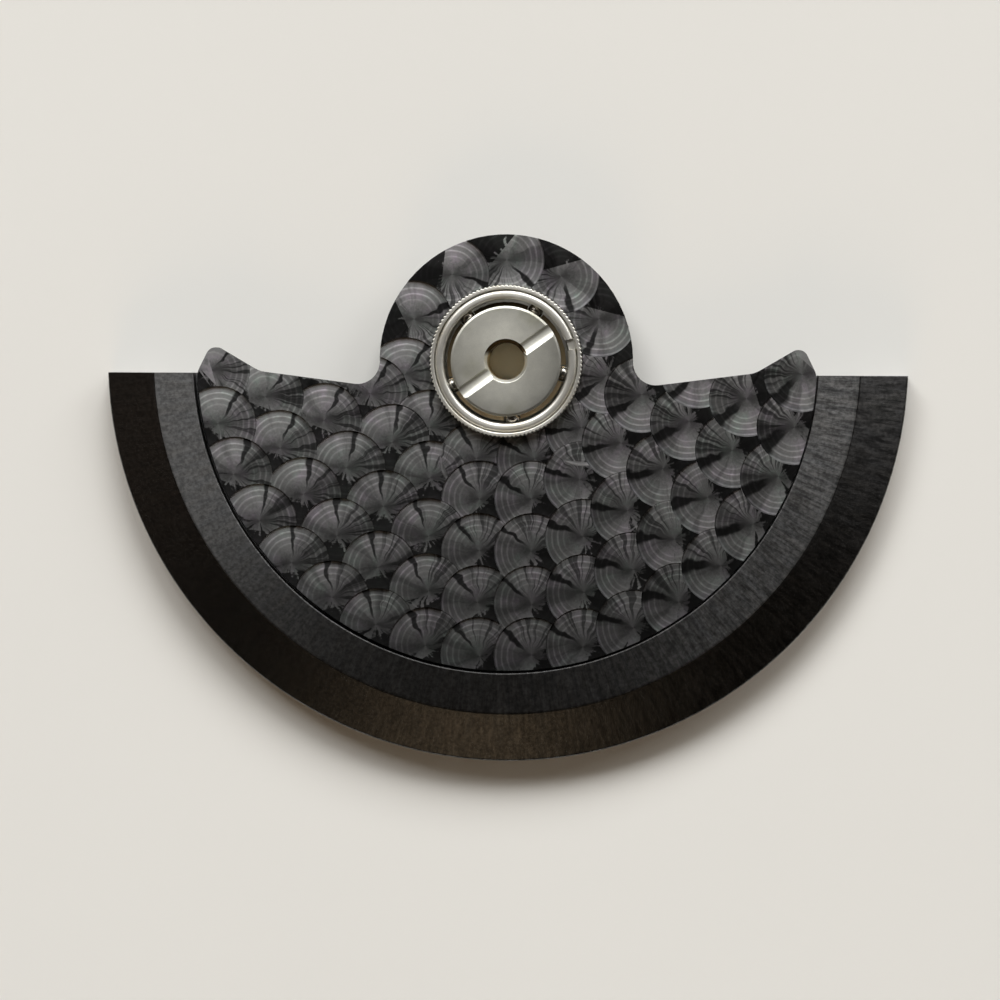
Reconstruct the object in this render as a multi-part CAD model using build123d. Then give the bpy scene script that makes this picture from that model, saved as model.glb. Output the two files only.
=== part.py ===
from build123d import *
import math
import os

# Automatic watch rotor: a heavy half-ring on a thin carrier plate that turns on a centre ball bearing.
# Millimetres. The origin is on the bearing's axis, in the plane of its seat on the watch.
# +Z points to the face that shows through a glass case back, and the weight hangs toward -Y.

# Rim weight
rotor_radius = 13.25
weight_width = 2.95
band_width = 1.33
ledge_width = 1.30
ledge_height = 1.00
weight_height = 1.60
bevel_drop = 0.55
end_drop = 0.43
edge_break = 0.03

# Carrier plate
plate_thickness = 0.50
plate_gap = 0.07
hub_width = 1.66
seat_fit = 0.01
edge_tilt = 7.3
# Corners of the plate's upper edge, and their roundings, as shares of the plate's outer radius
knee_share = (0.802, -0.0355)
horn_share = (0.954, 0.0535)
heel_drop_share = 0.039
knee_round_share = 0.088
horn_round_share = 0.032
heel_round_share = 0.059
# Where the edge meets the hub disc, inside it, and the rounding there, as shares of the hub's radius
root_share = 0.92
notch_round_share = 0.18

# Engraved scales: each is the mark of a flat round cutter, tilted so that it cuts deeper on one side
scale_radius = 1.25
scale_depth = 0.12
hub_scales = 11
# From one scale to the next, from one row to the next, and from the plate's edge to the outer row, as
# shares of the cutter's radius
scale_pitch_share = 1.404
row_pitch_share = 1.368
row_inset_share = 0.392
# The cutter's deep side lies between the hub and the next scale, at this angle from the hub
scale_turn = 45.0
# The cut fades out at this share of the cutter's radius beyond its centre
fade_share = 0.6

# Inner race: a slotted top half whose spigot stands in the lower half
bore_radius = 0.61
bore_flare = 0.12
spigot_wall = 0.34
core_wall = 0.37
head_rise = 0.55
head_overlap = 0.13
head_break = 0.03
slot_width = 0.36
slot_floor = 0.16
slot_depth = 0.20
slot_angle = 35.8
lower_flange = 0.45
sleeve_wall = 0.39

# Balls and cage
ball_count = 5
ball_radius = 0.25
ball_rise = 0.25
race_play = 0.01
cage_play = 0.04
cage_web = 0.28
cage_thickness = 0.14
cage_float = 0.03
cage_reach = 0.04
pocket_play = 0.03
first_ball_angle = 60.2
race_angle = 45.0

# Retaining ring in the mouth of the outer ring
mouth_gap = 0.13
ring_width = 0.28
ring_play = 0.04
ring_round = 0.09
ring_drop = 0.02
ring_split = 0.36
ring_split_angle = 14.5
foot_reach = 0.05
foot_height = 0.09
foot_play = 0.02

# Outer ring
lip_width = 0.15
lip_break = 0.03
relief_depth = 0.07
shoulder_width = 0.28
shoulder_height = 0.14
neck_step = 0.07

# Gear under the plate
tooth_count = 40
gear_rim = 0.22
tooth_height = 0.32
gear_thickness = 0.40
gear_stake = 0.04
# Half widths of a tooth, as shares of the angle from one tooth to the next
root_half_share = 0.34
tip_half_share = 0.14

# Every cut runs past its solid by this much
overrun = 1.0

# Radii, from the axis outwards
spigot_radius = bore_radius + spigot_wall
core_radius = spigot_radius + core_wall
sleeve_radius = spigot_radius + sleeve_wall
cage_bore = core_radius + cage_play
pocket_radius = ball_radius + pocket_play
pitch_radius = cage_bore + cage_web + pocket_radius
cage_radius = pitch_radius + cage_reach
head_radius = pitch_radius - head_overlap
mouth_radius = pitch_radius + mouth_gap
ring_radius = mouth_radius + ring_width
lip_radius = ring_radius + ring_play
bearing_radius = lip_radius + lip_width
foot_radius = lip_radius + foot_reach
neck_radius = bearing_radius - neck_step
shoulder_radius = bearing_radius + shoulder_width
root_radius = neck_radius + seat_fit + gear_rim
tip_radius = root_radius + tooth_height
plate_bore = bearing_radius + seat_fit
hub_radius = bearing_radius + hub_width
wall_radius = rotor_radius - weight_width
plate_radius = wall_radius - plate_gap

# Heights, from the seat upwards
plate_underside = ledge_height
plate_top = plate_underside + plate_thickness
ball_height = plate_underside + ball_rise
head_top = ball_height + head_rise
lip_top = head_top - ring_drop
cage_half = cage_thickness / 2
flat_rise = cage_half + cage_float
ring_floor = ball_height + flat_rise
shoulder_floor = plate_underside - shoulder_height
gear_floor = shoulder_floor - gear_thickness
ring_bottom = gear_floor - gear_stake

# The races are cones. Each lies at this distance from the balls' centres.
race_reach = ball_radius + race_play


# How far a race's cone stands from the ball's centre circle, along the radius, at a height above or
# below that centre
def cone_offset(rise):
    tilt = math.radians(race_angle)
    return race_reach / math.cos(tilt) - rise * math.tan(tilt)


# The height above the ball's centre at which a cone stands at this offset from the centre circle
def cone_rise(offset):
    tilt = math.radians(race_angle)
    return (race_reach / math.cos(tilt) - offset) / math.tan(tilt)


# A point at this radius and angle from the axis
def polar(radius, degrees):
    turn = math.radians(degrees)
    return (radius * math.cos(turn), radius * math.sin(turn))


# A closed outline of radius and height points, turned about the axis
def turned(points):
    return revolve(Plane.XZ * make_face(Polyline(*points, close=True)), Axis.Z)


# The half-ring: a ledge for the plate, a flat band and a bevel down to the rim
def rim_weight():
    ledge_radius = wall_radius - ledge_width
    band_radius = wall_radius + band_width
    rim_height = weight_height - bevel_drop
    ring = turned(
        [
            (ledge_radius, 0),
            (rotor_radius - edge_break, 0),
            (rotor_radius, edge_break),
            (rotor_radius, rim_height),
            (band_radius, weight_height),
            (wall_radius + edge_break, weight_height),
            (wall_radius, weight_height - edge_break),
            (wall_radius, ledge_height),
            (ledge_radius, ledge_height),
        ]
    )
    reach = rotor_radius + overrun
    keep = Pos(0, -end_drop - reach / 2, 0) * Box(2 * reach, reach, 2 * (weight_height + overrun))
    return ring & keep


# The plate's outline: a fan with a horn at each end, joined to the hub disc
def plate_outline():
    knee = tuple(share * plate_radius for share in knee_share)
    horn = tuple(share * plate_radius for share in horn_share)
    heel_y = -heel_drop_share * plate_radius
    heel = (math.sqrt(plate_radius**2 - heel_y**2), heel_y)
    inside = root_share * hub_radius
    root = (inside, knee[1] - (knee[0] - inside) * math.tan(math.radians(edge_tilt)))
    right = [heel, horn, knee, root]
    left = [(-x, y) for x, y in right]
    edge = Polyline(*right, *reversed(left))
    rim = ThreePointArc(left[0], (0, -plate_radius), right[0])
    outline = make_face(edge + rim) + Circle(hub_radius)
    for corner, share in ((heel, heel_round_share), (horn, horn_round_share), (knee, knee_round_share)):
        outline = rounded(outline, corner, share * plate_radius)
    for side in (1, -1):
        notches = outline.vertices().filter_by(lambda v: abs(v.Y) < hub_radius and side * v.X > 0)
        notch = min(notches, key=lambda v: abs(math.hypot(v.X, v.Y) - hub_radius))
        outline = fillet(notch, notch_round_share * hub_radius)
    return outline


# The outline with one corner rounded, and the same corner across the plate's middle
def rounded(outline, corner, radius):
    for x in (corner[0], -corner[0]):
        nearest = outline.vertices().sort_by_distance((x, corner[1], 0))[0]
        outline = fillet(nearest, radius)
    return outline


# Radius and angle of each scale's centre: rows on both sides of the middle line, and a ring on the hub
def scale_places():
    hub_row = (hub_radius + plate_bore) / 2
    places = [(hub_row, 90 + number * 360 / hub_scales) for number in range(hub_scales)]
    outer_row = plate_radius - row_inset_share * scale_radius
    row_pitch = row_pitch_share * scale_radius
    inner_rows = math.floor((outer_row - hub_radius) / row_pitch)
    for row in range(inner_rows, -1, -1):
        radius = outer_row - row * row_pitch
        step = math.degrees(scale_pitch_share * scale_radius / radius)
        for number in range(math.floor(90 / step + 1 / 2)):
            turn = (number + 1 / 2) * step
            places += [(radius, -90 - turn), (radius, -90 + turn)]
    return places


# The space that the cutter takes at one scale: upright walls, and a floor that slopes down to the deep side
def scale_cut(radius, angle):
    slope = scale_depth / (scale_radius * (1 + fade_share))
    tilt = math.degrees(math.atan(slope))
    reach = 4 * scale_radius
    above = Box(reach, reach, 2 * overrun, align=(Align.CENTER, Align.CENTER, Align.MIN))
    cutter = Cylinder(scale_radius, 2 * overrun) & Rot(0, tilt, 0) * above
    x, y = polar(radius, angle)
    middle = plate_top - fade_share * scale_radius * slope
    return Pos(x, y, middle) * Rot(0, 0, angle + 180 + scale_turn) * cutter


def rotor_plate():
    face = plate_outline() - Circle(plate_bore)
    plate = Pos(0, 0, plate_underside) * extrude(face, plate_thickness)
    for radius, angle in scale_places():
        plate -= scale_cut(radius, angle)
    return plate


# The outer ring: lower race, groove for the retaining ring, lip, shoulder and neck for the gear
def bearing_outer_ring():
    mouth_rise = cone_rise(mouth_gap)
    relief_radius = pitch_radius + race_reach + relief_depth
    relief_rise = cone_rise(relief_radius - pitch_radius)
    groove_radius = foot_radius + foot_play
    groove_top = ring_floor + foot_height + foot_play
    return turned(
        [
            (mouth_radius, ring_bottom),
            (neck_radius, ring_bottom),
            (neck_radius, shoulder_floor),
            (shoulder_radius, shoulder_floor),
            (shoulder_radius, plate_underside),
            (bearing_radius, plate_underside),
            (bearing_radius, lip_top - lip_break),
            (bearing_radius - lip_break, lip_top),
            (lip_radius, lip_top),
            (lip_radius, groove_top),
            (groove_radius, groove_top),
            (groove_radius, ring_floor),
            (relief_radius, ring_floor),
            (relief_radius, ball_height - relief_rise),
            (mouth_radius, ball_height - mouth_rise),
        ]
    )


# The split ring that closes the race, with its foot under the outer ring's lip
def retaining_ring():
    outline = Polyline(
        (mouth_radius, ball_height + cone_rise(mouth_gap)),
        (pitch_radius + cone_offset(flat_rise), ring_floor),
        (foot_radius, ring_floor),
        (foot_radius, ring_floor + foot_height),
        (ring_radius, ring_floor + foot_height),
        (ring_radius, lip_top),
        (mouth_radius, lip_top),
        close=True,
    )
    section = make_face(outline)
    for radius in (mouth_radius, ring_radius):
        section = fillet(section.vertices().sort_by_distance((radius, lip_top, 0))[0], ring_round)
    ring = revolve(Plane.XZ * section, Axis.Z)
    split = Pos(foot_radius / 2 + mouth_radius / 2, 0, lip_top) * Box(
        foot_radius, ring_split, 2 * lip_top
    )
    return ring - Rot(0, 0, ring_split_angle) * split


# A toothed ring, pressed on the outer ring's neck against its shoulder
def rotor_gear():
    pitch = 360 / tooth_count
    outline = []
    for tooth in range(tooth_count):
        middle = tooth * pitch
        outline += [
            polar(root_radius, middle - root_half_share * pitch),
            polar(tip_radius, middle - tip_half_share * pitch),
            polar(tip_radius, middle + tip_half_share * pitch),
            polar(root_radius, middle + root_half_share * pitch),
        ]
    face = make_face(Polyline(*outline, close=True)) - Circle(neck_radius + seat_fit)
    return Pos(0, 0, gear_floor) * extrude(face, gear_thickness)


# A flat ring round the inner race's core, with a pocket open to the rim for each ball
def ball_cage():
    face = Circle(cage_radius) - Circle(cage_bore)
    for angle in ball_angles():
        mouth = Pos(pocket_radius, 0) * Rectangle(2 * pocket_radius, 2 * pocket_radius)
        pocket = Pos(pitch_radius, 0) * (Circle(pocket_radius) + mouth)
        face -= Rot(0, 0, angle) * pocket
    return Pos(0, 0, ball_height - cage_half) * extrude(face, cage_thickness)


def ball_angles():
    return [first_ball_angle + turn * 360 / ball_count for turn in range(ball_count)]


def bearing_ball(angle):
    x, y = polar(pitch_radius, angle)
    return Pos(x, y, ball_height) * Sphere(ball_radius)


# The slotted head carries the upper race. Its core spaces the races, and its spigot centres them.
def inner_race_top():
    flank_radius = pitch_radius - cone_offset(flat_rise)
    body = turned(
        [
            (bore_radius, 0),
            (spigot_radius, 0),
            (spigot_radius, ball_height - flat_rise),
            (core_radius, ball_height - flat_rise),
            (core_radius, ring_floor),
            (flank_radius, ring_floor),
            (head_radius, ball_height + cone_rise(head_overlap)),
            (head_radius, head_top - head_break),
            (head_radius - head_break, head_top),
            (bore_radius + bore_flare, head_top),
            (bore_radius, head_top - bore_flare),
        ]
    )
    rise = overrun * (slot_width - slot_floor) / (2 * slot_depth)
    section = make_face(
        Polyline(
            (-slot_floor / 2, head_top - slot_depth),
            (slot_floor / 2, head_top - slot_depth),
            (slot_width / 2 + rise, head_top + overrun),
            (-slot_width / 2 - rise, head_top + overrun),
            close=True,
        )
    )
    slot = extrude(Plane.YZ * section, head_radius + overrun, both=True)
    return body - Rot(0, 0, slot_angle) * slot


# The lower half: a flange with the lower race, and the sleeve that stands on the watch
def inner_race_lower():
    flank_radius = pitch_radius - cone_offset(flat_rise)
    flange_top = ball_height - flat_rise
    fit_radius = spigot_radius + seat_fit
    return turned(
        [
            (fit_radius, 0),
            (sleeve_radius, 0),
            (sleeve_radius, flange_top - lower_flange),
            (head_radius, flange_top - lower_flange),
            (head_radius, ball_height - cone_rise(head_overlap)),
            (flank_radius, flange_top),
            (fit_radius, flange_top),
        ]
    )


pieces = {
    "rim_weight": rim_weight(),
    "rotor_plate": rotor_plate(),
    "bearing_outer_ring": bearing_outer_ring(),
    "retaining_ring": retaining_ring(),
    "rotor_gear": rotor_gear(),
    "ball_cage": ball_cage(),
    "inner_race_top": inner_race_top(),
    "inner_race_lower": inner_race_lower(),
}
for number, angle in enumerate(ball_angles(), 1):
    pieces[f"bearing_ball_{number}"] = bearing_ball(angle)

os.makedirs("parts", exist_ok=True)
for name, piece in pieces.items():
    export_step(piece, f"parts/{name}.step")
    print(name, "volume", round(piece.volume, 3))
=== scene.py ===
import math

import bmesh
import bpy
import numpy as np
from mathutils import Matrix


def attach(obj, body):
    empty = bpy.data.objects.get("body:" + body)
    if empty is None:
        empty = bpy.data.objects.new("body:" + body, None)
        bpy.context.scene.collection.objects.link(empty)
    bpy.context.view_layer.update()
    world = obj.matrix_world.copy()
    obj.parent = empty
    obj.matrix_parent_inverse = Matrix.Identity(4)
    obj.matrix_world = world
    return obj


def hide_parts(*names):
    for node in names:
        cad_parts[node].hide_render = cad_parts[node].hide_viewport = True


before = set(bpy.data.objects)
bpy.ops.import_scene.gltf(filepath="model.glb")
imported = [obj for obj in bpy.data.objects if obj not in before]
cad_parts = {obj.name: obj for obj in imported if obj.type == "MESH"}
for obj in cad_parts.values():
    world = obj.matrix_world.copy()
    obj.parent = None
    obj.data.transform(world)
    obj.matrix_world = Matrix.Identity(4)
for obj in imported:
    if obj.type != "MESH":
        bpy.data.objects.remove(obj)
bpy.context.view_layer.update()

# Looks of an automatic watch rotor: black engraved plate, brushed black rim weight, steel ball bearing.
# Sizes here are in millimetres, as the maker thinks of them, and each mesh is brought to metres at its end.
mm = 0.001
print("frame loaded:", len(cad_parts), "solids")


# Surfaces

# Each corner of a closed outline becomes a small curve. With a and b at the rounding's length before and
# after the corner, the point at share t is (1-t)^2 a + 2t(1-t) corner + t^2 b. A rounding takes at most the
# share longest of the shorter side. A spare point stands just outside a and b, so the flats beside the
# curve keep their own shading.
def softOutline(corners, roundings, steps=4, longest=0.42, spare=0.12):
    corner = np.array(corners, float)
    before, after = np.roll(corner, 1, 0) - corner, np.roll(corner, -1, 0) - corner
    runBefore = np.linalg.norm(before, axis=1)[:, None]
    runAfter = np.linalg.norm(after, axis=1)[:, None]
    rounding = np.minimum(np.reshape(roundings, (-1, 1)), longest * np.minimum(runBefore, runAfter))
    a, b = corner + before / runBefore * rounding, corner + after / runAfter * rounding
    t = np.linspace(0, 1, steps + 1)[None, :, None]
    curve = (1 - t) ** 2 * a[:, None] + 2 * t * (1 - t) * corner[:, None] + t**2 * b[:, None]
    spareA = (a + spare * (a - corner))[:, None]
    spareB = (b + spare * (b - corner))[:, None]
    return np.concatenate([spareA, curve, spareB], axis=1).reshape(-1, 2)


# A point of an outline stands at (radius cos turn, radius sin turn, height), with its turn round the axis
def carried(outline, turn):
    radius, height = outline[:, 0][None], outline[:, 1][None]
    return np.stack([radius * np.cos(turn), radius * np.sin(turn), height + 0 * turn], axis=2)


# An outline of radius and height is carried round the axis. At share s from -1 to 1 a point stands at
# the angle middle + s (halfTurn - arcsin(endDrop / radius)), so both ends are flat, endDrop off the axis.
def carriedRound(outline, middle, halfTurn, endDrop, count):
    s = np.linspace(-1, 1, count)[:, None]
    reach = math.radians(halfTurn) - np.arcsin(endDrop / outline[:, 0][None])
    return carried(outline, math.radians(middle) + s * reach)


# The same outline carried a full turn, in equal steps of the angle
def carriedFull(outline, count):
    return carried(outline, np.linspace(0, 2 * np.pi, count, endpoint=False)[:, None])


# A grid of points becomes quads, each between neighbours in both directions. A full turn closes, and an
# open one gets a flat face at each end.
def gridMesh(name, grid, fullTurn=True, closedLine=True):
    rows, columns = grid.shape[:2]
    index = np.arange(rows * columns).reshape(rows, columns)
    here = index if fullTurn else index[:-1]
    there = np.roll(index, -1, 0) if fullTurn else index[1:]
    quads = np.stack([here, there, np.roll(there, -1, 1), np.roll(here, -1, 1)], axis=2)
    faces = (quads if closedLine else quads[:, :-1]).reshape(-1, 4).tolist()
    if not fullTurn:
        faces += [index[0].tolist(), index[-1][::-1].tolist()]
    mesh = bpy.data.meshes.new(name)
    mesh.from_pydata((grid.reshape(-1, 3) * mm).tolist(), [], faces)
    return mesh


# Merges doubles, points every face outwards and shades smooth, but sharp where faces meet at an angle
# above the limit
def tidyMesh(mesh, sharpAngle=32, mergeBelow=0.0002, outwards=True):
    work = bmesh.new()
    work.from_mesh(mesh)
    bmesh.ops.remove_doubles(work, verts=work.verts, dist=mergeBelow * mm)
    if outwards:
        bmesh.ops.recalc_face_normals(work, faces=work.faces)
    work.to_mesh(mesh)
    work.free()
    mesh.polygons.foreach_set("use_smooth", np.ones(len(mesh.polygons), bool))
    mesh.set_sharp_from_angle(angle=math.radians(sharpAngle))
    mesh.update()


# Puts a mesh into the scene as a piece that rides on a body and stands for CAD nodes
def addPiece(mesh, material, body, slot, *nodes):
    piece = bpy.data.objects.new(mesh.name, mesh)
    bpy.context.scene.collection.objects.link(piece)
    mesh.materials.clear()
    mesh.materials.append(material)
    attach(piece, body)
    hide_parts(*nodes)


# Shader tools

# Adds a node. A plain value is set on its socket, and another node's output is linked to it.
def addNode(tree, kind, inputs=None, **options):
    node = tree.nodes.new("ShaderNode" + kind)
    for option, value in options.items():
        setattr(node, option, value)
    for socket, value in (inputs or {}).items():
        if isinstance(value, bpy.types.NodeSocket):
            tree.links.new(value, node.inputs[socket])
        else:
            node.inputs[socket].default_value = value
    return node


def maths(tree, operation, *values):
    return addNode(tree, "Math", dict(enumerate(values)), operation=operation).outputs[0]


# A length and a dot product are numbers, all else is a vector
def vectorMaths(tree, operation, *values):
    node = addNode(tree, "VectorMath", dict(enumerate(values)), operation=operation)
    return node.outputs[1 if operation in ("LENGTH", "DOT_PRODUCT") else 0]


# The product of all the numbers
def times(tree, value, *others):
    for other in others:
        value = maths(tree, "MULTIPLY", value, other)
    return value


# The base plus each number times its weight
def weighted(tree, base, *pairs):
    for value, weight in pairs:
        base = maths(tree, "MULTIPLY_ADD", value, weight, base)
    return base


# The number moved from the range 0 to 1 into the range low to high
def spread(tree, value, low, high):
    return maths(tree, "MULTIPLY_ADD", value, maths(tree, "SUBTRACT", high, low), low)


# Runs a number through a ramp of (place, grey) stops
def ramp(tree, value, stops, interpolation="EASE"):
    node = addNode(tree, "ValToRGB", {0: value})
    node.color_ramp.interpolation = interpolation
    for number, (place, grey) in enumerate(stops):
        element = node.color_ramp.elements[number] if number < 2 else node.color_ramp.elements.new(place)
        element.position = place
        element.color = (grey, grey, grey, 1)
    return node.outputs[0]


# Rises smoothly from 0 at the start to 1 at the end
def fadeIn(tree, value, start, end):
    return ramp(tree, value, ((start, 0.0), (end, 1.0)))


# Moves a number from its own range into the range low to high, smoothly
def toned(tree, value, ranges):
    (start, end), (low, high) = ranges
    return spread(tree, fadeIn(tree, value, start, end), low, high)


# Cloudy or streaky noise between 0 and 1, read at a place. Its three values are the noise's scale, detail
# and roughness. Output 1 holds three such noises at once.
def cloud(tree, place, noise, output=0):
    scale, detail, roughness = noise
    inputs = {"Vector": place, "Scale": scale, "Detail": detail, "Roughness": roughness}
    return addNode(tree, "TexNoise", inputs).outputs[output]


def joined(tree, x, y, z):
    return addNode(tree, "CombineXYZ", {0: x, 1: y, 2: z}).outputs[0]


def parted(tree, vector):
    return addNode(tree, "SeparateXYZ", {0: vector}).outputs[:]


def attribute(tree, name):
    return addNode(tree, "Attribute", attribute_name=name).outputs["Vector"]


# Object coordinates in millimetres, with the radius and the angle round the axis
def polarPlace(tree):
    coordinates = addNode(tree, "TexCoord").outputs["Object"]
    place = vectorMaths(tree, "MULTIPLY", coordinates, (1 / mm,) * 3)
    x, y, z = parted(tree, place)
    radius = maths(tree, "SQRT", weighted(tree, times(tree, x, x), (y, y)))
    return {"place": place, "x": x, "y": y, "z": z, "radius": radius, "angle": maths(tree, "ARCTAN2", y, x)}


# Mixes two colours by a share from 0 to 1
def mixed(tree, share, colourA, colourB, blend="MIX"):
    inputs = {0: share, 6: colourA, 7: colourB}
    return addNode(tree, "Mix", inputs, data_type="RGBA", blend_type=blend).outputs[2]


# The colour times the product of some numbers
def shaded(tree, colour, *shades):
    return mixed(tree, 1.0, colour, times(tree, *shades), "MULTIPLY")


# The direction of the shader's long highlight, turned from the object's axes into the world's
def grain(tree, direction):
    turned = addNode(tree, "VectorTransform", {0: direction}, vector_type="VECTOR",
                     convert_from="OBJECT", convert_to="WORLD").outputs[0]
    return vectorMaths(tree, "NORMALIZE", turned)


# Fine relief: the height times the distance, in millimetres. With an edge radius, edges look rounded too.
def relief(tree, height, distance, edgeRadius=None):
    inputs = {"Strength": 1.0, "Distance": distance * mm, "Height": height}
    if edgeRadius:
        inputs["Normal"] = addNode(tree, "Bevel", {"Radius": edgeRadius * mm}, samples=4).outputs[0]
    return addNode(tree, "Bump", inputs).outputs[0]


# Starts a material and gives its tree, cleared of its first nodes
def startMaterial(name):
    material = bpy.data.materials.new(name)
    material.use_nodes = True
    material.node_tree.nodes.clear()
    return material, material.node_tree


def closeMaterial(tree, inputs):
    shader = addNode(tree, "BsdfPrincipled", inputs)
    addNode(tree, "OutputMaterial", {"Surface": shader.outputs[0]})


# Rim weight

weightFinish = {
    "colour": (0.105, 0.106, 0.109, 1),
    "warmColour": (0.112, 0.106, 0.100, 1),
    "warmShare": (-0.2, 0.9),
    "roughness": (0.58, 0.66),
    "bevelRoughness": 0.36,
    "bevelFrom": 11.63,
    "bevelFade": 0.02,
    "anisotropy": 0.90,
    "middleRadius": 11.5,
    "streak": {"width": 0.06, "length": 1.6, "noise": (1.0, 3.0, 0.6)},
    "broad": {"width": 0.285714, "length": 1.6, "slice": 7.0, "noise": (1.0, 2.0, 0.5)},
    "dash": {"width": 0.15, "length": 0.85, "slice": 3.0, "noise": (1.0, 3.0, 0.7)},
    "fleck": (9.0, 4.0, 0.6),
    "patch": (0.35, 2.0, 0.5),
    "streakTone": ((0.30, 0.72), (0.88, 1.12)),
    "fleckTone": ((0.30, 0.70), (0.70, 1.30)),
    "dashTone": ((0.30, 0.70), (-0.50, 0.36)),
    "dashRise": (0.62, 0.045),
    "dashBase": 1.06,
    "bandPaintedFall": (1.01, -0.012),
    "streakHeight": 0.5,
    "fleckHeight": 0.9,
    "bumpHeight": 0.0008,
    "edge": 0.02,
}


# Straight lines that run out from the axis: noise read at the arc length over a line's width, and at the
# radius over its length. Each kind has its own slice of the noise, or else changes with the height.
def radialLines(tree, at, middleRadius, lines):
    arc = maths(tree, "MULTIPLY", at["angle"], middleRadius / lines["width"])
    along = maths(tree, "DIVIDE", at["radius"], lines["length"])
    return cloud(tree, joined(tree, arc, along, lines.get("slice", at["z"])), lines["noise"])


# Satin black with fine brush lines and flecks. Coarser dashes are real brush marks, and their strength grows
# toward the right, at base + rise x, as painted sheen where the light shows them. The flat band is darkened
# by painted shade at base + fall x, darker toward the right, but not the bevel, which is smoother too. A
# ramp reads only 0 to 1, so the radius is moved until the bevel starts at 0.5.
def brushedBlack(finish):
    material, tree = startMaterial("radialBrushedBlack")
    at = polarPlace(tree)
    streak, broad, dash = (radialLines(tree, at, finish["middleRadius"], finish[name])
                           for name in ("streak", "broad", "dash"))
    fleck, patch = (cloud(tree, at["place"], finish[name]) for name in ("fleck", "patch"))
    outward = maths(tree, "SUBTRACT", at["radius"], finish["bevelFrom"] - 0.5)
    onBevel = fadeIn(tree, outward, 0.5 - finish["bevelFade"], 0.5 + finish["bevelFade"])

    # Painted sheen: the dashes grow stronger toward the right
    base, rise = finish["dashRise"]
    dashStrength = weighted(tree, base, (at["x"], rise))
    dashShade = weighted(tree, finish["dashBase"], (toned(tree, dash, finish["dashTone"]), dashStrength))
    # Painted shade: the flat band darkens toward the right
    base, paintedFall = finish["bandPaintedFall"]
    bandPaintedShade = spread(tree, onBevel, weighted(tree, base, (at["x"], paintedFall)), 1.0)
    warm = spread(tree, broad, *finish["warmShare"])
    colour = mixed(tree, warm, finish["colour"], finish["warmColour"])
    colour = shaded(tree, colour, toned(tree, streak, finish["streakTone"]),
                    toned(tree, fleck, finish["fleckTone"]), dashShade, bandPaintedShade)

    rough = spread(tree, weighted(tree, 0.0, (streak, 0.5), (patch, 0.5)), *finish["roughness"])
    rough = times(tree, rough, spread(tree, onBevel, 1.0, finish["bevelRoughness"]))
    height = weighted(tree, 0.0, (fleck, finish["fleckHeight"]), (streak, finish["streakHeight"]))
    across = joined(tree, maths(tree, "MULTIPLY", at["y"], -1.0), at["x"], 0.0)
    closeMaterial(tree, {
        "Base Color": colour, "Metallic": 1.0, "Roughness": rough,
        "Normal": relief(tree, height, finish["bumpHeight"], finish["edge"]),
        "Anisotropic": finish["anisotropy"], "Tangent": grain(tree, across)})
    return material


weight = {
    "corners": [(9.0, 0), (13.25, 0), (13.25, 1.05), (11.63, 1.6), (10.3, 1.6), (10.3, 1.0), (9.0, 1.0)],
    "roundings": [0.03, 0.04, 0.06, 0.06, 0.05, 0.02, 0.04],
    "endDrop": 0.43,
    "wallShift": 0.035,
    "wallWithin": 10.45,
    "wallAbove": 1.02,
    "count": 361,
}
outline = softOutline(weight["corners"], weight["roundings"])
grid = carriedRound(outline, -90, 90, weight["endDrop"], weight["count"])
onWall = (np.hypot(grid[..., 0], grid[..., 1]) < weight["wallWithin"]) & (grid[..., 2] > weight["wallAbove"])
grid[..., 0] -= weight["wallShift"] * onWall  # the wall round the plate stands a little to the left
mesh = gridMesh("rimWeight", grid, fullTurn=False)
tidyMesh(mesh)
addPiece(mesh, brushedBlack(weightFinish), "rotor", "black_weight", "rim_weight")
print("rim weight done")


# Engraved plate

# The cutter's size and where its marks lie, then the bare tips of the horns
scales = {
    "radius": 1.25,
    "depth": 0.12,
    "pitch": 1.755,
    "rowPitch": 1.71,
    "outerRow": 9.74,
    "rows": 4,
    "hubRow": 3.355,
    "hubCount": 11,
    "turn": 45.0,
    "fade": 0.6,
    "plateTop": 1.5,
    "slack": 0.001,
    "leastCut": 0.0005,
    "leastShare": 0.02,
    "upright": 0.5,
    "bareLean": (0.80, 0.60),
    "bareFrom": 7.72,
    "bareGrain": (0.14, 0.56, 0.9),
}

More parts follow.
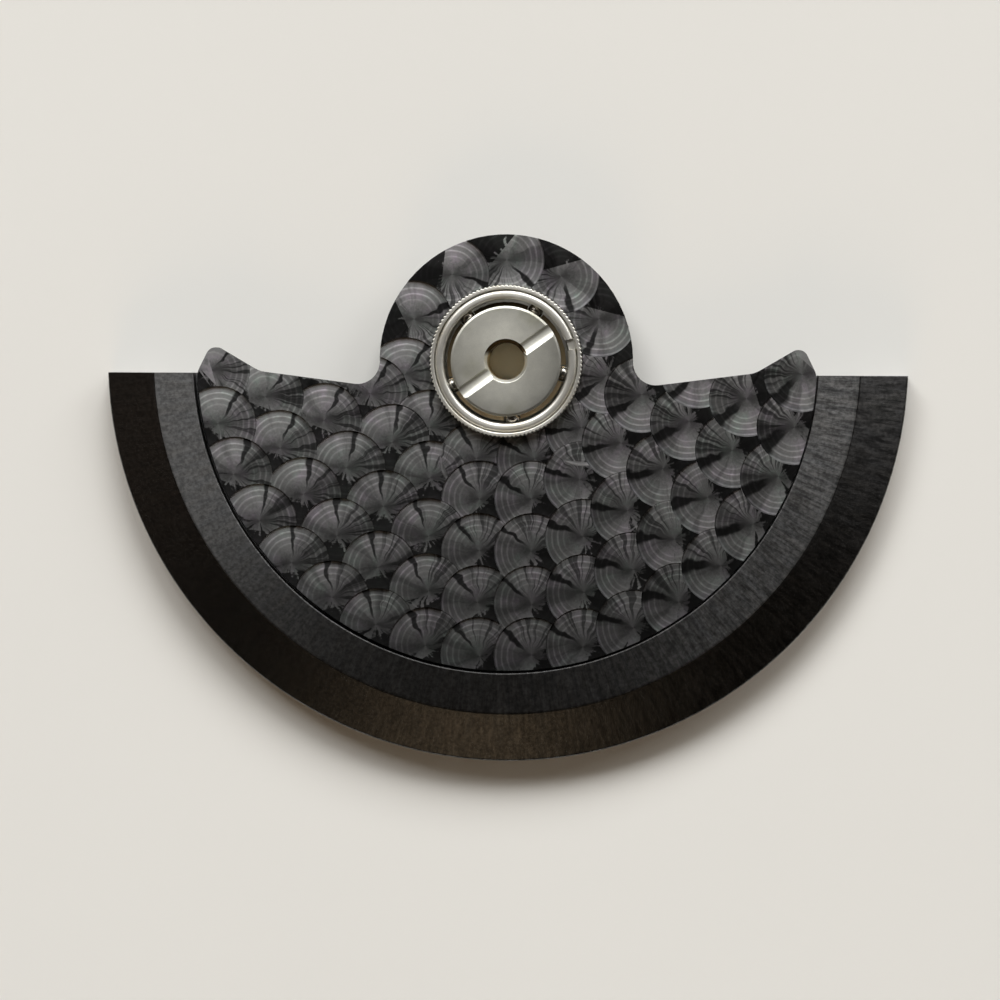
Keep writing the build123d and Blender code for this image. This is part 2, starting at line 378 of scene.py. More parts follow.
plateFinish = {
    "colour": (0.118, 0.118, 0.119, 1),
    "tintA": (0.126, 0.113, 0.130, 1),
    "tintB": (0.110, 0.128, 0.119, 1),
    "tintTurn": (0.42, 0.62),
    "tintFrom": (0.35, 0.80),
    "gloss": 0.17,
    "roughness": (0.50, 0.64),
    "anisotropy": 0.66,
    "smear": (2.6, 4.0, 0.62),
    "fleck": (11.0, 4.0, 0.6),
    "wander": (0.9, 2.0, 0.5),
    "waver": (1.3, 3.0, 0.6),
    "bend": (2.2, 1.0, 0.5),
    "rays": (7.0, 2.0, 0.5),
    "teeth": (3.4, 1.0, 0.5),
    "wedge": (1.7, 3.0, 0.6),
    "groove": (1.0, 2.0, 0.6),
    "warp": 0.22,
    "veer": 0.9,
    "smearShade": (0.65, 1.35),
    "fleckShade": (0.75, 1.25),
    "fan": (0.60, 1.30),
    "fanAngle": 98.0,
    "paintedFall": (0.88, -0.006, 0.0745, 0.019),
    "edge": 0.014,
    # Where the cut runs out
    "cutSmear": 0.252,
    "cutTeeth": 0.462,
    "cutFleck": 0.126,
    "cutFrom": (0.62, 0.69),
    "uncutPaintedShade": 0.08,
    # Painted shade that stands in for dark reflections: wedges, the slit, streaks on one side of it, and the
    # scale's darker middle
    "wedges": ((0.32, 0.60), (0.49, 1.0)),
    "wedgeSide": -0.10,
    "wedgeFleck": 0.06,
    "slitWidth": (0.17, 0.032),
    "slitUneven": (0.2, 1.8),
    "slitWander": (-0.20, 0.20),
    "slit": ((0.32, 0.06), (0.68, 1.0)),
    "streaks": ((0.40, 0.24), (0.54, 1.0)),
    "streakSide": -1.7,
    "streakShade": 0.86,
    "middle": (0.25, 0.61),
    "middleFleck": 0.30,
    "middleShade": 0.50,
    # Rings and grooves of the cutter, and the painted highlight on the rings
    "ringPitch": 0.19,
    "ringWander": (-0.35, 0.35),
    "rings": ((0.0, 0.2), (0.20, 1.0), (0.55, 0.1), (1.0, 0.2)),
    "ringFrom": (0.30, 0.75),
    "ringUneven": (0.2, 1.6),
    "ringPaintedHighlight": (0.96, 2.05),
    "ringHeight": 0.008,
    "grooveHeight": 0.0012,
    "grooveCount": 22.0,
    "fleckHeight": 1.2,
}


# Where a point lies on its scale. The attribute scaleFrame holds its place from the scale's centre, in
# cutter radii, and how deep it is. The heading is the direction from the centre to the point, which noise
# has bent a little, so that marks along it are ragged. Noise read at centre + heading draws rays, and each
# scale has its own.
def scalePlace(tree, at, finish, cutterRadius):
    x, y, depth = parted(tree, attribute(tree, "scaleFrame"))
    flat = joined(tree, x, y, 0.0)
    away = vectorMaths(tree, "MULTIPLY", flat, (cutterRadius,) * 3)
    centre = vectorMaths(tree, "SUBTRACT", at["place"], away)
    bend = vectorMaths(tree, "SUBTRACT", cloud(tree, at["place"], finish["bend"], 1), (0.5,) * 3)
    bent = vectorMaths(tree, "MULTIPLY_ADD", bend, (finish["warp"], finish["warp"], 0.0), flat)
    heading = vectorMaths(tree, "NORMALIZE", bent)
    return {"x": x, "y": y, "depth": depth, "reach": vectorMaths(tree, "LENGTH", flat), "bent": bent,
            "heading": heading, "rayPlace": vectorMaths(tree, "ADD", heading, centre)}


# Painted shade on a scale: dark marks that stand in for the dark sectors of its reflection, as a number
# that its colour is multiplied by. The slit lies along the attribute scaleDeep, the direction of the
# scale's deep side: there the cross product of the two directions, with some wander, is under the slit's
# width, which grows toward the right. Streaks are rays on the slit's clockwise side, and wedges are broad
# rays of noise, darker where the heading points left or right. Near the centre all of them fade into one
# shade.
def scaleMarksAndPaintedShade(tree, at, own, noise, finish):
    side = maths(tree, "ABSOLUTE", parted(tree, own["heading"])[0])
    wedge = cloud(tree, own["rayPlace"], finish["wedge"])
    wedge = weighted(tree, wedge, (side, finish["wedgeSide"]), (noise["fleck"], finish["wedgeFleck"]))
    wedge = ramp(tree, wedge, finish["wedges"])

    deep = attribute(tree, "scaleDeep")
    offDeep = parted(tree, vectorMaths(tree, "CROSS_PRODUCT", deep, own["heading"]))[2]
    wandering = maths(tree, "ADD", offDeep, spread(tree, noise["waver"], *finish["slitWander"]))
    base, rise = finish["slitWidth"]
    width = weighted(tree, base, (maths(tree, "MAXIMUM", at["x"], 0.0), rise))
    width = times(tree, width, spread(tree, noise["smear"], *finish["slitUneven"]))
    behind = maths(tree, "LESS_THAN", vectorMaths(tree, "DOT_PRODUCT", own["heading"], deep), 0.0)
    slit = maths(tree, "MAXIMUM", maths(tree, "DIVIDE", maths(tree, "ABSOLUTE", wandering), width), behind)
    slit = ramp(tree, slit, finish["slit"])

    rays = ramp(tree, cloud(tree, own["rayPlace"], finish["rays"]), finish["streaks"])
    onSide = fadeIn(tree, maths(tree, "MULTIPLY", offDeep, finish["streakSide"]), 0.0, 1.0)
    streak = spread(tree, onSide, 1.0, maths(tree, "MULTIPLY", rays, finish["streakShade"]))

    outward = weighted(tree, own["reach"], (noise["fleck"], finish["middleFleck"]))
    offMiddle = fadeIn(tree, outward, *finish["middle"])
    return spread(tree, offMiddle, finish["middleShade"], times(tree, wedge, slit, streak))


# Rings of the cutter: they stand at equal steps of the distance in from its rim, so their place in a step
# is the fraction of that distance over the pitch. They fade toward the centre and are unevenly strong.
def cutterRings(tree, own, noise, finish, cutterRadius):
    inward = times(tree, maths(tree, "SUBTRACT", 1.0, own["reach"]), cutterRadius / finish["ringPitch"])
    inward = maths(tree, "ADD", inward, spread(tree, noise["wander"], *finish["ringWander"]))
    ring = ramp(tree, maths(tree, "FRACT", inward), finish["rings"])
    return times(tree, ring, fadeIn(tree, own["reach"], *finish["ringFrom"]),
                 spread(tree, noise["smear"], *finish["ringUneven"]))


# Dark coat with little gloss over the engraved scales. A painted sheen makes each scale brightest along one
# direction, by the square of the heading's share of it, and its long highlight runs along the heading.
# Where the cut runs out, at depth + noise, it is ragged, and beyond it painted shade makes the coat nearly
# black, with a straight grain. Painted shade falls over the whole plate at base + a x + b y + c radius, and
# the cutter's rings get a painted highlight.
def engravedBlack(finish, cutterRadius):
    material, tree = startMaterial("engravedBlack")
    at = polarPlace(tree)
    noise = {name: cloud(tree, at["place"], finish[name]) for name in ("smear", "fleck", "wander", "waver")}
    smear, fleck = noise["smear"], noise["fleck"]
    own = scalePlace(tree, at, finish, cutterRadius)
    ring = cutterRings(tree, own, noise, finish, cutterRadius)
    teeth = cloud(tree, own["rayPlace"], finish["teeth"])
    cut = weighted(tree, own["depth"], (smear, finish["cutSmear"]), (teeth, finish["cutTeeth"]),
                   (fleck, finish["cutFleck"]))
    cut = fadeIn(tree, cut, *finish["cutFrom"])
    groovesOut = times(tree, own["reach"], cutterRadius * finish["grooveCount"])
    grooves = cloud(tree, joined(tree, groovesOut, own["x"], own["y"]), finish["groove"])
    height = weighted(tree, grooves, (ring, finish["ringHeight"] / finish["grooveHeight"]))
    height = weighted(tree, times(tree, height, cut), (fleck, finish["fleckHeight"]))

    tint = mixed(tree, fadeIn(tree, noise["wander"], *finish["tintTurn"]), finish["tintA"], finish["tintB"])
    colour = mixed(tree, fadeIn(tree, smear, *finish["tintFrom"]), finish["colour"], tint)
    # Painted sheen: a scale is lighter where its heading points along one fixed direction
    toPaintedSheen = math.radians(finish["fanAngle"])
    fan = vectorMaths(tree, "DOT_PRODUCT", own["heading"], (math.cos(toPaintedSheen), math.sin(toPaintedSheen), 0.0))
    # Painted shade over the whole plate: lighter toward the top, darker toward the bottom, a little darker
    # to the right
    base, byX, byY, byRadius = finish["paintedFall"]
    colour = shaded(
        tree, colour,
        spread(tree, smear, *finish["smearShade"]),
        spread(tree, fleck, *finish["fleckShade"]),
        # Painted highlight on the cutter's rings
        spread(tree, ring, *finish["ringPaintedHighlight"]),
        scaleMarksAndPaintedShade(tree, at, own, noise, finish),
        spread(tree, times(tree, fan, fan), *finish["fan"]),
        # Painted shade: beyond the cut the coat is made nearly black
        spread(tree, cut, finish["uncutPaintedShade"], 1.0),
        weighted(tree, base, (at["x"], byX), (at["y"], byY), (at["radius"], byRadius)))

    rough = spread(tree, weighted(tree, 0.0, (smear, 0.6), (grooves, 0.4)), *finish["roughness"])
    veer = spread(tree, smear, -finish["veer"], finish["veer"])
    bentX, bentY = parted(tree, own["bent"])[:2]
    veered = joined(tree, maths(tree, "SUBTRACT", bentX, times(tree, bentY, veer)),
                    weighted(tree, bentY, (bentX, veer)), 0.0)
    lengthwise = mixed(tree, cut, (1, 0, 0, 1), veered)
    closeMaterial(tree, {
        "Base Color": colour, "Specular IOR Level": finish["gloss"], "Roughness": rough,
        "Normal": relief(tree, height, finish["grooveHeight"], finish["edge"]),
        "Anisotropic": finish["anisotropy"], "Tangent": grain(tree, lengthwise)})
    return material


# Centre, and direction of the deep side, of every scale: rows on both sides of the middle line, and a
# ring on the hub
def scaleCentres(sizes):
    radii = [sizes["hubRow"]] * sizes["hubCount"]
    angles = [90 + number * 360 / sizes["hubCount"] for number in range(sizes["hubCount"])]
    for row in range(sizes["rows"]):
        radius = sizes["outerRow"] - row * sizes["rowPitch"]
        step = math.degrees(sizes["pitch"] / radius)
        turns = (np.arange(math.floor(90 / step + 0.5)) + 0.5) * step
        for side in (-1, 1):
            radii += [radius] * len(turns)
            angles += (-90 + side * turns).tolist()
    turn = np.radians(angles)
    deep = turn + math.pi + math.radians(sizes["turn"])
    centres = np.array(radii)[:, None] * np.stack([np.cos(turn), np.sin(turn)], axis=1)
    return centres, np.stack([np.cos(deep), np.sin(deep)], axis=1)


# One value of every item of a mesh, as an array
def readAll(items, name, width=1, kind=float):
    data = np.empty(len(items) * width, kind)
    items.foreach_get(name, data)
    return data.reshape(-1, width) if width > 1 else data


# Gives each corner of each face two vectors. scaleFrame is its place from the centre of the scale that cut
# the face, in cutter radii, and the share of the full depth there, or 0 where nothing is cut. scaleDeep is
# the direction of that scale's deep side. A scale's depth is slope times (the way toward its deep side +
# the fade), and the deepest scale that reaches the face's middle has cut it. The tips of the horns are
# bare: there the grain is the same all over.
def addScaleFrame(mesh, sizes):
    centres, deep = scaleCentres(sizes)
    middle, normal = readAll(mesh.polygons, "center", 3) / mm, readAll(mesh.polygons, "normal", 3)
    vertexOf = readAll(mesh.loops, "vertex_index", kind=int)
    point = readAll(mesh.vertices, "co", 3)[vertexOf, :2] / mm
    face = np.repeat(np.arange(len(middle)), readAll(mesh.polygons, "loop_total", kind=int))

    away = middle[:, None, :2] - centres[None]
    reached = np.linalg.norm(away, axis=2) < sizes["radius"] * (1 + sizes["slack"])
    slope = sizes["depth"] / (sizes["radius"] * (1 + sizes["fade"]))
    depth = slope * ((away * deep[None]).sum(axis=2) + sizes["fade"] * sizes["radius"])
    depth = np.where(reached, depth, -1.0)
    best, deepest = depth.argmax(axis=1), depth.max(axis=1)
    below = middle[:, 2] < sizes["plateTop"] - sizes["leastCut"]
    cutFace = (normal[:, 2] > sizes["upright"]) & (deepest > sizes["leastCut"]) & below

    share = np.clip(deepest / sizes["depth"], sizes["leastShare"], 1) * cutFace
    place = (point - centres[best[face]]) / sizes["radius"]
    scaleFrame = np.column_stack([place, share[face]]).astype(np.float32)
    scaleDeep = np.column_stack([deep[best[face]], 0 * face]).astype(np.float32)
    leanX, leanY = sizes["bareLean"]
    bare = (np.abs(middle[:, 0]) * leanX + middle[:, 1] * leanY > sizes["bareFrom"])[face]
    scaleFrame[bare & (scaleFrame[:, 2] > 0)] = sizes["bareGrain"]
    scaleDeep[bare] = (1, 0, 0)
    for name, values in (("scaleFrame", scaleFrame), ("scaleDeep", scaleDeep)):
        mesh.attributes.new(name, "FLOAT_VECTOR", "CORNER").data.foreach_set("vector", values.ravel())
    mesh.polygons.foreach_set("use_smooth", np.abs(normal[:, 2]) < sizes["upright"])
    print("plate faces:", len(middle), "of them cut:", int(cutFace.sum()))


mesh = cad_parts["rotor_plate"].data.copy()
mesh.name = "engravedPlate"
tidyMesh(mesh, sharpAngle=25)
addScaleFrame(mesh, scales)
addPiece(mesh, engravedBlack(plateFinish, scales["radius"]), "rotor", "black_plate", "rotor_plate")
print("engraved plate done")


# Steels

# What all steels share: their noises, and the ranges that they move the colour and the roughness by
steelCommon = {
    "scuff": (3.1, 5.0, 0.62),
    "stain": (0.8, 3.0, 0.55),
    "pit": (26.0, 3.0, 0.6),
    "lineDetail": (3.0, 0.65),
    "stainFrom": (0.46, 0.78),
    "scuffShade": (0.86, 1.12),
    "pitShade": (0.92, 1.08),
    "scuffRough": 0.7,
    "lineRough": 0.3,
    "pitHeight": 0.8,
}
steelFinishes = {
    # Race: its painted fall makes it lighter at the upper left and the centre, darker at the lower right and
    # the rim
    "race": {
        "colour": (0.80, 0.79, 0.72, 1), "stainColour": (0.58, 0.57, 0.47, 1), "roughness": (0.40, 0.50),
        "anisotropy": 0.15, "scratch": 0.0006, "lines": 34.0, "paintedFall": (0.292, 0.055, -0.077, 0.1215),
        "paintedFallRange": (1.6, 0.3), "borePaintedShade": (0.72, 0.62, 0.42, 1), "boreRadius": 0.62,
        "paintedShadowColour": (0.05, 0.032, 0.015, 1), "paintedShadowRadius": 0.735, "paintedShadowFrom": (0.20, 0.44),
        "paintedShadowScuff": 0.2,
    },
    "ring": {
        "colour": (0.92, 0.90, 0.84, 1), "stainColour": (0.78, 0.73, 0.62, 1), "roughness": (0.40, 0.50),
        "anisotropy": 0.30, "scratch": 0.0006, "lines": 40.0,
    },
    "gear": {
        "colour": (0.56, 0.545, 0.51, 1), "stainColour": (0.42, 0.40, 0.35, 1), "roughness": (0.30, 0.44),
        "anisotropy": 0.30, "scratch": 0.0008, "lines": 30.0,
    },
    # Cage: its dark brown colour is painted shade of the gap it lies in, and its painted fall makes it
    # darker at the top as painted shade and lighter at the bottom as painted light
    "cage": {
        "colour": (0.17, 0.135, 0.085, 1), "stainColour": (0.12, 0.075, 0.045, 1), "roughness": (0.34, 0.46),
        "anisotropy": 0.20, "scratch": 0.0005, "lines": 40.0, "paintedFall": (0.5, 0.05, -0.27, 0.0),
        "paintedFallRange": (0.28, 5.5),
    },
    "ball": {
        "colour": (0.36, 0.35, 0.33, 1), "stainColour": (0.26, 0.20, 0.16, 1), "roughness": (0.20, 0.28),
        "anisotropy": 0.0, "scratch": 0.0001, "lines": 12.0,
    },
}


# Turned steel. Fine lines run round the axis: the noise is read at the radius and the height, so it is
# the same all the way round, and a cloud breaks it up. Thin oil stains warm the colour in places. A bore
# gets a painted warm shade, and a painted shadow on its upper rim. A painted shade goes from one value to
# another as base + a x + b y + c radius^2 goes from 0 to 1, lighter on one side of the part and darker on
# the other.
def turnedSteel(name, finish, common):
    material, tree = startMaterial(name)
    at = polarPlace(tree)
    lines = cloud(tree, joined(tree, at["radius"], at["z"], 0.0), (finish["lines"], *common["lineDetail"]))
    scuff, stain, pit = (cloud(tree, at["place"], common[noise]) for noise in ("scuff", "stain", "pit"))
    stained = fadeIn(tree, stain, *common["stainFrom"])
    colour = mixed(tree, stained, finish["colour"], finish["stainColour"])
    if "borePaintedShade" in finish:
        inBore = maths(tree, "LESS_THAN", at["radius"], finish["boreRadius"])
        # Painted shadow on the bore's upper rim
        upward = weighted(tree, at["y"], (scuff, finish["paintedShadowScuff"]))
        inPaintedShadow = times(tree, maths(tree, "LESS_THAN", at["radius"], finish["paintedShadowRadius"]),
                       fadeIn(tree, upward, *finish["paintedShadowFrom"]))
        # Painted warm shade inside the bore
        colour = mixed(tree, inBore, colour, finish["borePaintedShade"])
        colour = mixed(tree, inPaintedShadow, colour, finish["paintedShadowColour"])
    shades = [spread(tree, scuff, *common["scuffShade"]), spread(tree, pit, *common["pitShade"])]
    # Painted shade: the part is lighter on one side and darker on the other
    if "paintedFall" in finish:
        base, byX, byY, bySquare = finish["paintedFall"]
        square = times(tree, at["radius"], at["radius"])
        lower = weighted(tree, base, (at["x"], byX), (at["y"], byY), (square, bySquare))
        shades.append(spread(tree, ramp(tree, lower, ((0.0, 0.0), (1.0, 1.0)), "LINEAR"), *finish["paintedFallRange"]))
    rough = weighted(tree, 0.0, (lines, common["lineRough"]), (scuff, common["scuffRough"]))
    height = weighted(tree, lines, (pit, common["pitHeight"]))
    closeMaterial(tree, {
        "Base Color": shaded(tree, colour, *shades), "Metallic": 1.0,
        "Roughness": spread(tree, rough, *finish["roughness"]),
        "Normal": relief(tree, height, finish["scratch"]), "Anisotropic": finish["anisotropy"],
        "Tangent": grain(tree, joined(tree, at["x"], at["y"], 0.0))})
    return material


steel = {name: turnedSteel(name + "Steel", finish, steelCommon) for name, finish in steelFinishes.items()}
print("steels ready")


# Bearing

outerRing = {
    "corners": [(2.05, 0.42), (2.45, 0.42), (2.45, 0.86), (2.8, 0.86), (2.8, 1.0), (2.52, 1.0), (2.52, 1.78),
                (2.37, 1.78), (2.37, 1.46), (2.44, 1.46), (2.44, 1.35), (2.25, 1.35), (2.25, 1.2123),
                (2.05, 1.0123)],
    "roundings": [0.03, 0.03, 0.01, 0.03, 0.02, 0.01, 0.035, 0.03, 0.01, 0.01, 0.01, 0.01, 0.01, 0.02],
    "count": 784,
    "knurls": 112,
    "knurlDepth": 0.042,
    "knurlOutside": 2.44,
    "knurlAbove": 1.52,
    "knurlFade": 0.05,
    "keyAngle": 14.5,
    "keyHalf": 4.4,
    "keyRadii": (2.1, 2.36),
    "keyTop": 1.67,
    "stepRadii": (2.2, 2.3, 2.46),
    "stepHeights": (1.3, 1.5),
}


# A piece turned about the axis
def turnedMesh(name, sizes):
    outline = softOutline(sizes["corners"], sizes["roundings"])
    return gridMesh(name, carriedFull(outline, sizes["count"]))


# The lip's outer edge has fine knurls: there the radius swings by their depth with the cosine of the
# angle times their number, and only above the plate. In the split ring's gap a key stands up from the
# step: there the step's corners are moved to the key's two radii and to its top.
def knurled(grid, sizes):
    radius, height = np.hypot(grid[..., 0], grid[..., 1]), grid[..., 2]
    turn = np.arctan2(grid[..., 1], grid[..., 0])
    outside = np.clip((radius - sizes["knurlOutside"]) / sizes["knurlFade"], 0, 1)
    above = np.clip((height - sizes["knurlAbove"]) / sizes["knurlFade"], 0, 1)
    wave = 0.5 - 0.5 * np.cos(turn * sizes["knurls"])
    swing = 1 - sizes["knurlDepth"] * outside * above * wave / radius

    (inner, middle, outer), (low, high) = sizes["stepRadii"], sizes["stepHeights"]
    inKey = np.abs(np.degrees(turn) - sizes["keyAngle"]) < sizes["keyHalf"]
    onStep = inKey & (radius > inner) & (radius < outer) & (height > low) & (height < high)
    keyRadius = np.where(radius < middle, *sizes["keyRadii"])
    swing = np.where(onStep, keyRadius / radius, swing)
    height = np.where(onStep, sizes["keyTop"], height)
    return np.concatenate([grid[..., :2] * swing[..., None], height[..., None]], axis=2)


outline = softOutline(outerRing["corners"], outerRing["roundings"])
mesh = gridMesh("outerRing", knurled(carriedFull(outline, outerRing["count"]), outerRing))
tidyMesh(mesh)
addPiece(mesh, steel["ring"], "rotor", "ring_steel", "bearing_outer_ring")

splitRing = {
    "corners": [(2.05, 1.4877), (2.1877, 1.35), (2.42, 1.35), (2.42, 1.44), (2.33, 1.44), (2.33, 1.78),
                (2.05, 1.78)],
    "roundings": [0.02, 0.01, 0.01, 0.01, 0.01, 0.13, 0.13],
    "curveSteps": 8,
    "splitAngle": 14.5,
    "split": 0.36,
    "count": 241,
}
outline = softOutline(splitRing["corners"], splitRing["roundings"], splitRing["curveSteps"])
grid = carriedRound(outline, splitRing["splitAngle"] + 180, 180, splitRing["split"] / 2, splitRing["count"])
mesh = gridMesh("splitRing", grid, fullTurn=False)
tidyMesh(mesh)
addPiece(mesh, steel["ring"], "rotor", "ring_steel", "retaining_ring")

slottedRace = {
    "corners": [(0.61, 0), (0.95, 0), (0.95, 1.15), (1.32, 1.15), (1.32, 1.35), (1.6523, 1.35),
                (1.79, 1.4877), (1.79, 1.54), (1.82, 1.56), (1.82, 1.775), (1.745, 1.8), (0.71, 1.8),
                (0.61, 1.68)],
    "roundings": [0.03, 0.02, 0.01, 0.01, 0.01, 0.01, 0.02, 0.01, 0.01, 0.02, 0.012, 0.012, 0.02],
    "slot": [(-0.245, 0.4), (-0.245, 0.0), (-0.225, -0.006), (-0.150, -0.044), (-0.100, -0.062),
             (-0.050, -0.072), (0.010, -0.079), (0.066, -0.082), (0.116, -0.077), (0.166, -0.046),
             (0.205, 0.0), (0.205, 0.4)],
    "slotAngle": 35.8,
    "slotReach": 3.0,
    "top": 1.8,
    "count": 240,
}


# The slot's cutter is a straight bar through the axis, with the slot's section of width and height over
# the top. Its ends are at along = -reach and reach, and a point of the section at width w stands at
# (along cos a - w sin a, along sin a + w cos a).
def barMesh(name, sizes):
    width, height = np.array(sizes["slot"]).T[:, None]
    turn = math.radians(sizes["slotAngle"])
    along = np.array([-sizes["slotReach"], sizes["slotReach"]])[:, None]
    x = along * math.cos(turn) - width * math.sin(turn)
    y = along * math.sin(turn) + width * math.cos(turn)
    mesh = gridMesh(name, np.stack([x, y, 0 * x + height + sizes["top"]], axis=2), fullTurn=False)
    tidyMesh(mesh)
    return mesh


# The mesh without the space that a cutter takes, as a plain mesh
def carved(mesh, cutter):
    whole, bar = (bpy.data.objects.new(item.name, item) for item in (mesh, cutter))
    for helper in (whole, bar):
        bpy.context.scene.collection.objects.link(helper)
    carve = whole.modifiers.new("slot", "BOOLEAN")
    carve.object = bar
    carve.solver = "EXACT"
    bpy.context.view_layer.update()
    result = bpy.data.meshes.new_from_object(whole.evaluated_get(bpy.context.evaluated_depsgraph_get()))
    name = mesh.name
    for helper, data in ((whole, mesh), (bar, cutter)):
        bpy.data.objects.remove(helper)
        bpy.data.meshes.remove(data)
    result.name = name
    return result


mesh = turnedMesh("slottedRace", slottedRace)
tidyMesh(mesh)
mesh = carved(mesh, barMesh("slotBar", slottedRace))
tidyMesh(mesh, sharpAngle=14)
addPiece(mesh, steel["race"], "inner_race", "race_steel", "inner_race_top")

lowerRace = {
    "corners": [(0.96, 0), (1.34, 0), (1.34, 0.7), (1.79, 0.7), (1.79, 1.0123), (1.6523, 1.15),
                (0.96, 1.15)],
    "roundings": [0.02, 0.03, 0.02, 0.04, 0.02, 0.02, 0.01],
    "count": 192,
}
mesh = turnedMesh("lowerRace", lowerRace)
tidyMesh(mesh)
addPiece(mesh, steel["race"], "inner_race", "race_steel", "inner_race_lower")

balls = {
    "count": 5,
    "radius": 0.25,
    "pitchRadius": 1.92,
    "height": 1.25,
    "firstAngle": 60.2,
    "rows": 48,
    "ribs": 24,
}


# A ball: at the angles a round it and b from its top, a point stands radius (sin b cos a, sin b sin a,
# cos b) from the centre. The points at the top and bottom rows fall together and are merged.
def ballMesh(name, centre, sizes):
    a = np.linspace(0, 2 * np.pi, sizes["rows"], endpoint=False)[:, None]
    b = np.linspace(0, np.pi, sizes["ribs"])[None]
    shape = np.stack([np.sin(b) * np.cos(a), np.sin(b) * np.sin(a), np.cos(b) + 0 * a], axis=2)
    mesh = gridMesh(name, np.array(centre) + sizes["radius"] * shape, closedLine=False)
    tidyMesh(mesh, sharpAngle=60)
    return mesh


for number in range(balls["count"]):
    turn = math.radians(balls["firstAngle"] + number * 360 / balls["count"])
    centre = (balls["pitchRadius"] * math.cos(turn), balls["pitchRadius"] * math.sin(turn), balls["height"])
    mesh = ballMesh(f"ball{number + 1}", centre, balls)
    addPiece(mesh, steel["ball"], f"ball_{number + 1}", "ball_steel", f"bearing_ball_{number + 1}")

for node, finish in (("ball_cage", "cage"), ("rotor_gear", "gear")):
    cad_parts[node].data.materials.clear()
    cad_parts[node].data.materials.append(steel[finish])
print("bearing done")


# Floor, light and camera

floorFinish = {"colour": (0.78, 0.771, 0.744, 1), "tone": (0.05, 2.0, 0.5), "toneShade": (0.985, 1.015),
               "roughness": 0.85, "gloss": 0.2}
floorShape = {"rings": (0.0, 60.0, 150.0), "flat": 450.0, "bend": 110.0, "bendSteps": 16, "wall": 12.0,
              "drop": 0.012, "count": 96, "mergeBelow": 0.01}


# A studio sweep: flat out to one radius, then bent up through a quarter circle, then a short wall. A
# point at angle t of the bend stands at flat + bend sin t, height bend (1 - cos t).
def sweepMesh(sizes):
    t = np.radians(np.linspace(0, 90, sizes["bendSteps"]))
    bend = np.stack([sizes["flat"] + sizes["bend"] * np.sin(t), sizes["bend"] * (1 - np.cos(t))], axis=1)
    flat = [(radius, 0.0) for radius in sizes["rings"]]
    line = np.concatenate([flat, bend, bend[-1:] + (0.0, sizes["wall"])])
    line[:, 1] -= sizes["drop"]
    mesh = gridMesh("floor", carriedFull(line[::-1], sizes["count"]), closedLine=False)
    tidyMesh(mesh, mergeBelow=sizes["mergeBelow"], outwards=False)
    return mesh


def paleFloor(finish):
    material, tree = startMaterial("paleFloor")
    tone = cloud(tree, polarPlace(tree)["place"], finish["tone"])
    colour = shaded(tree, finish["colour"], spread(tree, tone, *finish["toneShade"]))
    closeMaterial(tree, {
        "Base Color": colour, "Roughness": finish["roughness"], "Specular IOR Level": finish["gloss"]})
    return material


floor = bpy.data.objects.new("floor", sweepMesh(floorShape))
floor.data.materials.append(paleFloor(floorFinish))
bpy.context.scene.collection.objects.link(floor)

lampDistance = 1.2
lamps = {
    "key": {"azimuth": 80, "elevation": 35, "size": 0.68, "power": 12.0, "colour": (1.0, 1.0, 0.985)},
    "secondKey": {"azimuth": 118, "elevation": 42, "size": 0.60, "power": 6.4, "colour": (1.0, 1.0, 0.985)},
    "sideKey": {"azimuth": 42, "elevation": 28, "size": 0.60, "power": 3.4, "colour": (1.0, 1.0, 0.985)},
    "sideFill": {"azimuth": 12, "elevation": 46, "size": 0.40, "power": 0.26, "colour": (1.0, 1.0, 1.0)},
    "westGlow": {"azimuth": 190, "elevation": 46, "size": 0.44, "power": 0.04, "colour": (1.0, 0.76, 0.60)},
    "warmFill": {"azimuth": 262, "elevation": 47, "size": 0.34, "power": 0.14, "colour": (1.0, 0.74, 0.46)},
    "lowGlow": {"azimuth": 262, "elevation": 18, "size": 0.60, "power": 3.0, "colour": (1.0, 0.68, 0.38),
                "mirrored": False},
}
worldColour = (0.034, 0.029, 0.023)


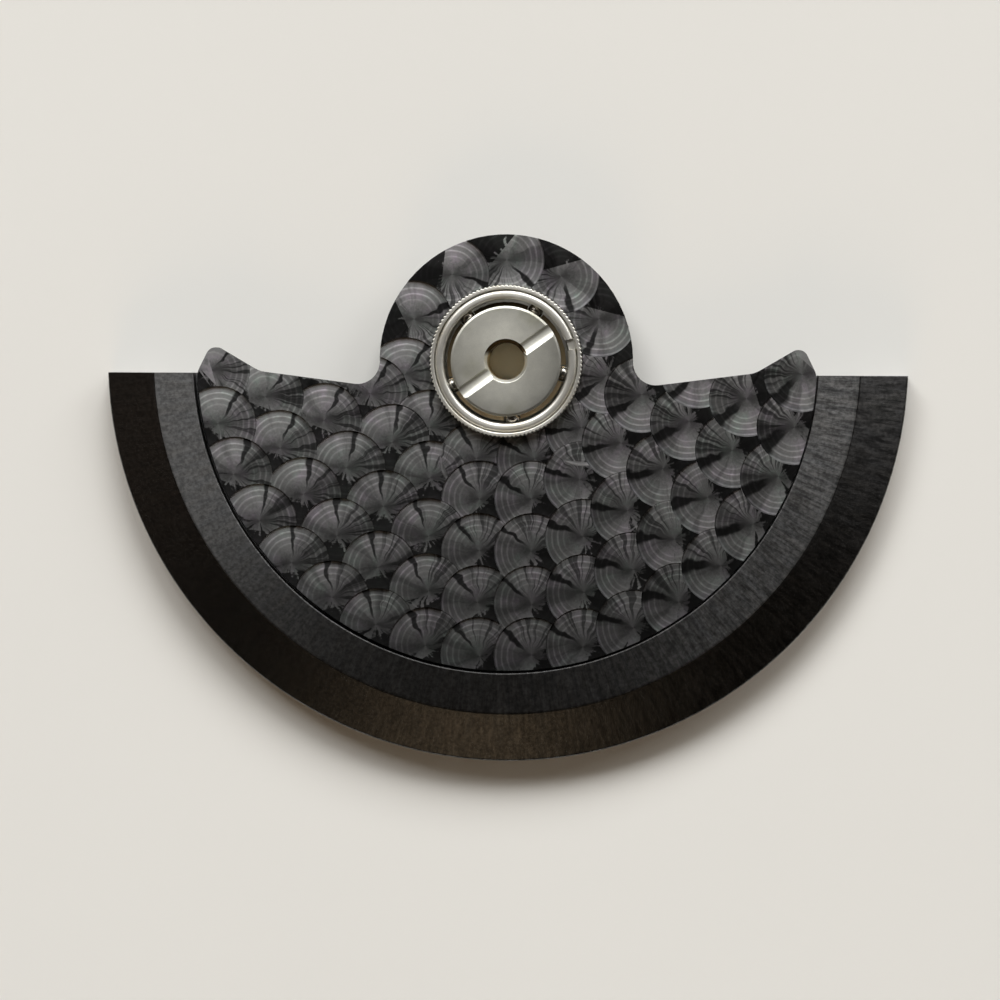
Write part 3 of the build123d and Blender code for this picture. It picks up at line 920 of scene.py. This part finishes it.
# A round soft lamp that faces the object. At azimuth a and elevation e it stands at distance times
# (cos e cos a, cos e sin a, sin e).
def addLamp(name, lamp, distance):
    azimuth, elevation = math.radians(lamp["azimuth"]), math.radians(lamp["elevation"])
    data = bpy.data.lights.new(name, "AREA")
    data.shape = "DISK"
    data.size = lamp["size"]
    data.energy = lamp["power"]
    data.color = lamp["colour"]
    light = bpy.data.objects.new(name, data)
    light.location = (distance * math.cos(elevation) * math.cos(azimuth),
                      distance * math.cos(elevation) * math.sin(azimuth), distance * math.sin(elevation))
    light.visible_glossy = lamp.get("mirrored", True)
    light.rotation_euler = (math.pi / 2 - elevation, 0, azimuth + math.pi / 2)
    bpy.context.scene.collection.objects.link(light)


for name, lamp in lamps.items():
    addLamp(name, lamp, lampDistance)
world = bpy.data.worlds.new("softRoom")
world.use_nodes = True
world.node_tree.nodes["Background"].inputs[0].default_value = (*worldColour, 1)
bpy.context.scene.world = world

camera = {"stands": (6.3, 0.0, 151.5), "looksAt": (-0.18, -4.58, 1.5), "across": 33.0, "roll": 0.27,
          "sensor": 36.0, "clip": (0.005, 5.0)}


# The camera's axes: it looks from where it stands to its target, and its up side is the world's +Y,
# turned by the roll. Its lens shows the width across at the target: sensor times distance over across.
def addCamera(view):
    stand, target = np.array(view["stands"]), np.array(view["looksAt"])
    distance = np.linalg.norm(stand - target)
    back = (stand - target) / distance
    roll = math.radians(view["roll"])
    right = np.cross((-math.sin(roll), math.cos(roll), 0), back)
    right /= np.linalg.norm(right)
    up = np.cross(back, right)
    data = bpy.data.cameras.new("camera")
    data.sensor_width = view["sensor"]
    data.lens = view["sensor"] * distance / view["across"]
    data.clip_start, data.clip_end = view["clip"]
    item = bpy.data.objects.new("camera", data)
    matrix = np.eye(4)
    matrix[:3, 0], matrix[:3, 1], matrix[:3, 2], matrix[:3, 3] = right, up, back, stand * mm
    item.matrix_world = Matrix(matrix.tolist())
    bpy.context.scene.collection.objects.link(item)
    bpy.context.scene.camera = item


addCamera(camera)
bpy.context.scene.view_settings.view_transform = "Standard"
print("floor, light and camera ready")
